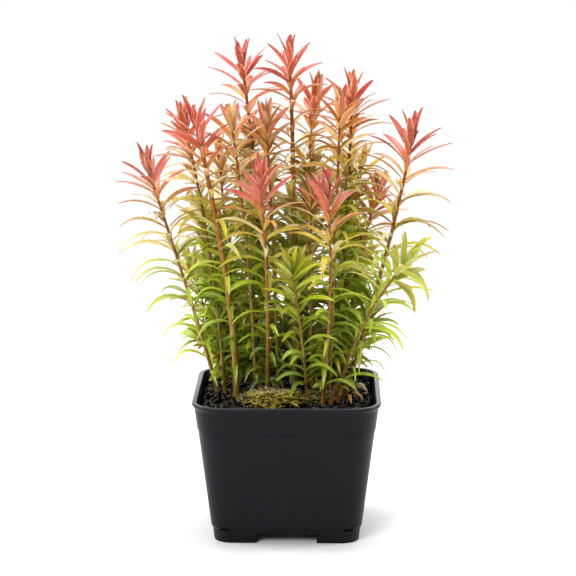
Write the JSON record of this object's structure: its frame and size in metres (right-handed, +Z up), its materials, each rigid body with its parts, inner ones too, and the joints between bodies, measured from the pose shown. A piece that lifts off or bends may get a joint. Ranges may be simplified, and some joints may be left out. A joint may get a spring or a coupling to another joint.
{
  "type": "potted rotala",
  "caption": "Clump of slender leafy stems with red and orange crowns over green lower leaves, growing from dark granules and moss in a tapered square pot.",
  "frame": {"origin": "middle of the pot, on the plane that its feet stand on", "axes": "+Z up, -Y towards the front that the picture shows, +X to the right as seen from the front"},
  "size_m": [0.1573, 0.1053, 0.2409],
  "materials": {
    "pot_plastic": "satin",
    "baked_clay": "satin",
    "moss": "matte",
    "withered_leaf": "matte",
    "cut_stem": "satin",
    "red_shoot": "satin",
    "orange_shoot": "satin",
    "green_shoot": "satin"
  },
  "bodies": {
    "root": {"pot": "pot_plastic", "substrate": "baked_clay", "moss_patch": "moss", "moss_tuft": "moss", "withered_leaf_1": "withered_leaf", "withered_leaf_2": "withered_leaf", "withered_leaf_3": "withered_leaf", "cut_stem_1": "cut_stem", "cut_stem_2": "cut_stem", "shoot_tallest": "red_shoot", "shoot_top_left": "red_shoot", "shoot_top_right": "red_shoot", "shoot_left_thick": "red_shoot", "shoot_right_outer": "red_shoot", "shoot_left_outer": "red_shoot", "shoot_front_red": "red_shoot", "shoot_front_right": "red_shoot", "shoot_orange_right": "orange_shoot", "shoot_orange_left": "orange_shoot", "shoot_centre": "orange_shoot", "shoot_left_twin": "red_shoot", "shoot_right_low": "green_shoot", "shoot_front_low": "green_shoot", "shoot_left_short": "green_shoot", "shoot_back_orange": "orange_shoot", "shoot_back_tall": "red_shoot", "shoot_brown": "orange_shoot", "shoot_right_tip": "red_shoot", "shoot_back_right": "green_shoot", "shoot_back_olive": "green_shoot", "shoot_back_left": "green_shoot", "shoot_back_low": "green_shoot"}
  },
  "joints": []
}
